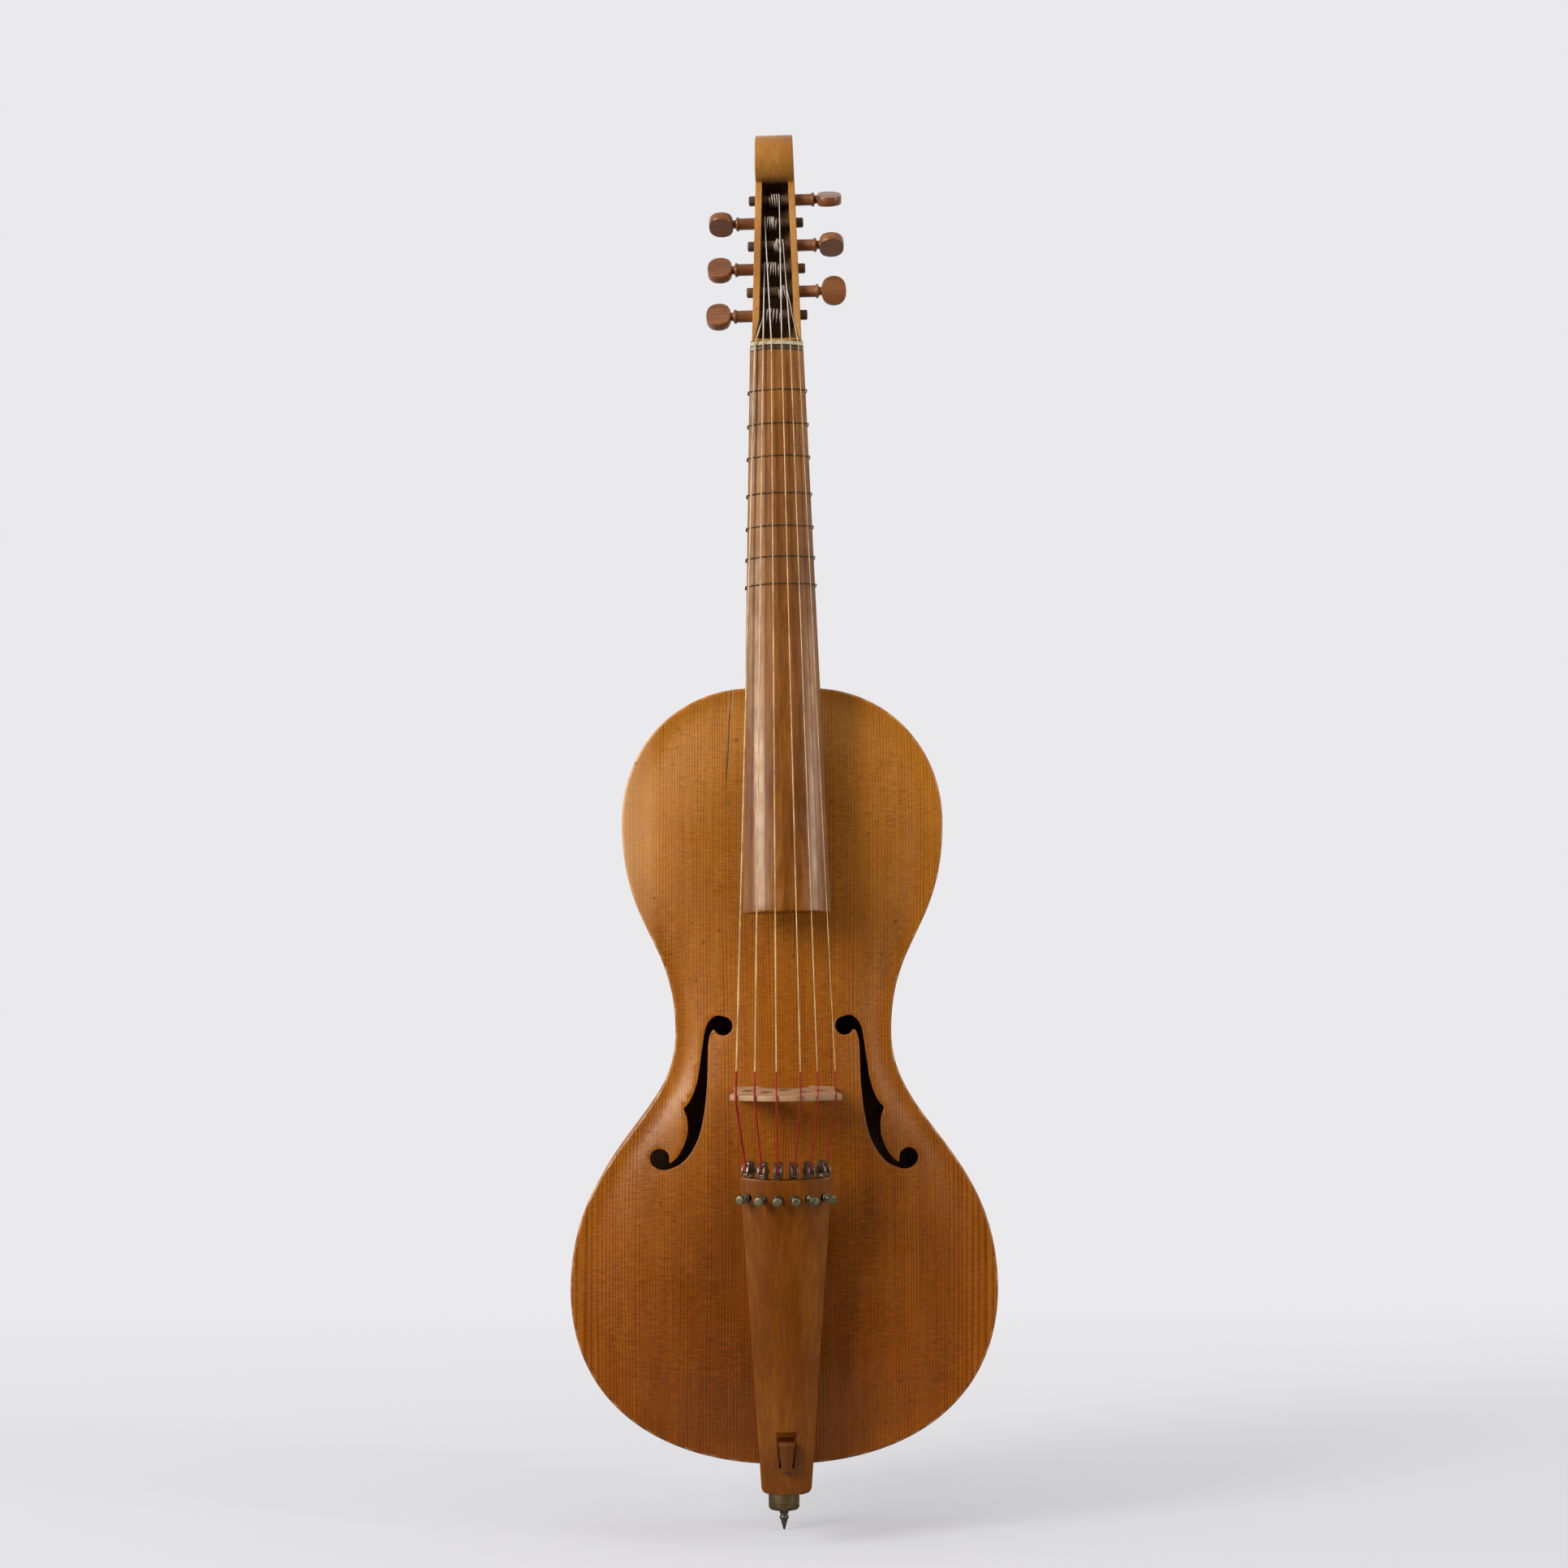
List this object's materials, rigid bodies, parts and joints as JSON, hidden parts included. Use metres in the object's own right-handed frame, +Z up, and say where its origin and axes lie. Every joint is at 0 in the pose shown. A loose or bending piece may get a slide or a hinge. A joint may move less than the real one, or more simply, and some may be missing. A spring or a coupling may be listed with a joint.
{
  "type": "viola da gamba",
  "caption": "Upright bowed string instrument with a guitar-shaped body, flat back, tied gut frets, side pegs, arched bridge, long tailpiece with screw tuners and a sliding endpin.",
  "frame": {"origin": "tip of the endpin with the rod pushed in", "axes": "+Z up the body towards the head, -Y out of the belly, +X towards the treble strings"},
  "size_m": [0.366, 0.2189, 1.237],
  "materials": {
    "spruce": "amber oil varnish over straight-grained spruce",
    "figured_maple": "amber oil varnish over maple",
    "plain_wood": "unvarnished, lightly polished",
    "peg_wood": "oiled fruitwood",
    "ebony": "polished",
    "bone": null,
    "gut": null,
    "brass": "tarnished",
    "steel": "dull bright steel"
  },
  "bodies": {
    "instrument": {"belly": "spruce", "back": "figured_maple", "rib_bass": "figured_maple", "rib_treble": "figured_maple", "tailpiece": "figured_maple", "neck": "figured_maple", "fingerboard": "figured_maple", "belly_lining": "plain_wood", "back_lining": "plain_wood", "neck_block": "plain_wood", "tail_block": "plain_wood", "bass_bar": "plain_wood", "soundpost": "plain_wood", "soundpost_plate": "plain_wood", "back_brace_lower": "plain_wood", "back_brace_upper": "plain_wood", "bridge": "plain_wood", "hook_bar": "peg_wood", "nut_strip": "ebony", "nut": "bone", "string_1": "gut", "string_2": "gut", "string_3": "gut", "string_4": "gut", "string_5": "gut", "string_6": "gut", "fret_1": "gut", "fret_2": "gut", "fret_3": "gut", "fret_4": "gut", "fret_5": "gut", "fret_6": "gut", "fret_7": "gut", "endpin_collar": "brass", "tuner_1_bracket": "steel", "tuner_2_bracket": "steel", "tuner_3_bracket": "steel", "tuner_4_bracket": "steel", "tuner_5_bracket": "steel", "tuner_6_bracket": "steel"},
    "peg_1_turning": {"peg_1": "peg_wood"},
    "peg_2_turning": {"peg_2": "peg_wood"},
    "peg_3_turning": {"peg_3": "peg_wood"},
    "peg_4_turning": {"peg_4": "peg_wood"},
    "peg_5_turning": {"peg_5": "peg_wood"},
    "peg_6_turning": {"peg_6": "peg_wood"},
    "tuner_1_screwing": {"tuner_1_screw": "steel"},
    "tuner_1_rocking": {"tuner_1_lever": "steel"},
    "tuner_2_screwing": {"tuner_2_screw": "steel"},
    "tuner_2_rocking": {"tuner_2_lever": "steel"},
    "tuner_3_screwing": {"tuner_3_screw": "steel"},
    "tuner_3_rocking": {"tuner_3_lever": "steel"},
    "tuner_4_screwing": {"tuner_4_screw": "steel"},
    "tuner_4_rocking": {"tuner_4_lever": "steel"},
    "tuner_5_screwing": {"tuner_5_screw": "steel"},
    "tuner_5_rocking": {"tuner_5_lever": "steel"},
    "tuner_6_screwing": {"tuner_6_screw": "steel"},
    "tuner_6_rocking": {"tuner_6_lever": "steel"},
    "endpin_sliding": {"endpin_rod": "steel"},
    "thumbscrew_turning": {"endpin_thumbscrew": "brass"}
  },
  "joints": [
    {"name": "peg_1_turn", "type": "hinge", "parent": "instrument", "child": "peg_1_turning", "pos_m": [-0.00201, -0.0111, 1.17904], "axis": [0.9983, -0.0556, 0.0159], "continuous": true},
    {"name": "peg_2_turn", "type": "hinge", "parent": "instrument", "child": "peg_2_turning", "pos_m": [-0.00206, -0.01859, 1.15613], "axis": [0.9983, -0.0556, 0.0159], "continuous": true},
    {"name": "peg_3_turn", "type": "hinge", "parent": "instrument", "child": "peg_3_turning", "pos_m": [-0.00211, -0.02608, 1.13322], "axis": [0.9983, -0.0556, 0.0159], "continuous": true},
    {"name": "peg_4_turn", "type": "hinge", "parent": "instrument", "child": "peg_4_turning", "pos_m": [-0.00216, -0.03357, 1.11031], "axis": [0.9983, -0.0556, 0.0159], "continuous": true},
    {"name": "peg_5_turn", "type": "hinge", "parent": "instrument", "child": "peg_5_turning", "pos_m": [-0.00221, -0.04106, 1.0874], "axis": [0.9983, -0.0556, 0.0159], "continuous": true},
    {"name": "peg_6_turn", "type": "hinge", "parent": "instrument", "child": "peg_6_turning", "pos_m": [-0.00227, -0.04855, 1.0645], "axis": [0.9983, -0.0556, 0.0159], "continuous": true},
    {"name": "tuner_1_screw_in", "type": "slide", "parent": "instrument", "child": "tuner_1_screwing", "axis": [0.4653, 0.8766, 0.1232], "range_m": [0, 0.005]},
    {"name": "tuner_1_lever_rock", "type": "hinge", "parent": "instrument", "child": "tuner_1_rocking", "pos_m": [-0.02806, -0.11166, 0.32068], "axis": [0.8852, -0.4607, -0.0648], "range_deg": [0, 13.5]},
    {"name": "tuner_2_screw_in", "type": "slide", "parent": "instrument", "child": "tuner_2_screwing", "axis": [0.2819, 0.9501, 0.1335], "range_m": [0, 0.005]},
    {"name": "tuner_2_lever_rock", "type": "hinge", "parent": "instrument", "child": "tuner_2_rocking", "pos_m": [-0.017, -0.11609, 0.32005], "axis": [0.9594, -0.2792, -0.0392], "range_deg": [0, 13.5]},
    {"name": "tuner_3_screw_in", "type": "slide", "parent": "instrument", "child": "tuner_3_screwing", "axis": [0.0944, 0.9858, 0.1386], "range_m": [0, 0.005]},
    {"name": "tuner_3_lever_rock", "type": "hinge", "parent": "instrument", "child": "tuner_3_rocking", "pos_m": [-0.0057, -0.11825, 0.31975], "axis": [0.9955, -0.0935, -0.0131], "range_deg": [0, 13.5]},
    {"name": "tuner_4_screw_in", "type": "slide", "parent": "instrument", "child": "tuner_4_screwing", "axis": [-0.0944, 0.9858, 0.1386], "range_m": [0, 0.005]},
    {"name": "tuner_4_lever_rock", "type": "hinge", "parent": "instrument", "child": "tuner_4_rocking", "pos_m": [0.0057, -0.11825, 0.31975], "axis": [0.9955, 0.0935, 0.0131], "range_deg": [0, 13.5]},
    {"name": "tuner_5_screw_in", "type": "slide", "parent": "instrument", "child": "tuner_5_screwing", "axis": [-0.2819, 0.9501, 0.1335], "range_m": [0, 0.005]},
    {"name": "tuner_5_lever_rock", "type": "hinge", "parent": "instrument", "child": "tuner_5_rocking", "pos_m": [0.017, -0.11609, 0.32005], "axis": [0.9594, 0.2792, 0.0392], "range_deg": [0, 13.5]},
    {"name": "tuner_6_screw_in", "type": "slide", "parent": "instrument", "child": "tuner_6_screwing", "axis": [-0.4653, 0.8766, 0.1232], "range_m": [0, 0.005]},
    {"name": "tuner_6_lever_rock", "type": "hinge", "parent": "instrument", "child": "tuner_6_rocking", "pos_m": [0.02806, -0.11166, 0.32068], "axis": [0.8852, 0.4607, 0.0648], "range_deg": [0, 13.5]},
    {"name": "endpin_draw", "type": "slide", "parent": "instrument", "child": "endpin_sliding", "axis": [0, 0, -1], "range_m": [0, 0.28]},
    {"name": "thumbscrew_turn", "type": "hinge", "parent": "instrument", "child": "thumbscrew_turning", "pos_m": [0, 0.0135, 0.032], "axis": [0, 1, 0], "range_deg": [0, 540]}
  ],
  "couplings": [
    {"joint": "tuner_1_lever_rock", "follows": "tuner_1_screw_in", "rad_per_m": 46.5},
    {"joint": "tuner_2_lever_rock", "follows": "tuner_2_screw_in", "rad_per_m": 46.5},
    {"joint": "tuner_3_lever_rock", "follows": "tuner_3_screw_in", "rad_per_m": 46.5},
    {"joint": "tuner_4_lever_rock", "follows": "tuner_4_screw_in", "rad_per_m": 46.5},
    {"joint": "tuner_5_lever_rock", "follows": "tuner_5_screw_in", "rad_per_m": 46.5},
    {"joint": "tuner_6_lever_rock", "follows": "tuner_6_screw_in", "rad_per_m": 46.5}
  ]
}
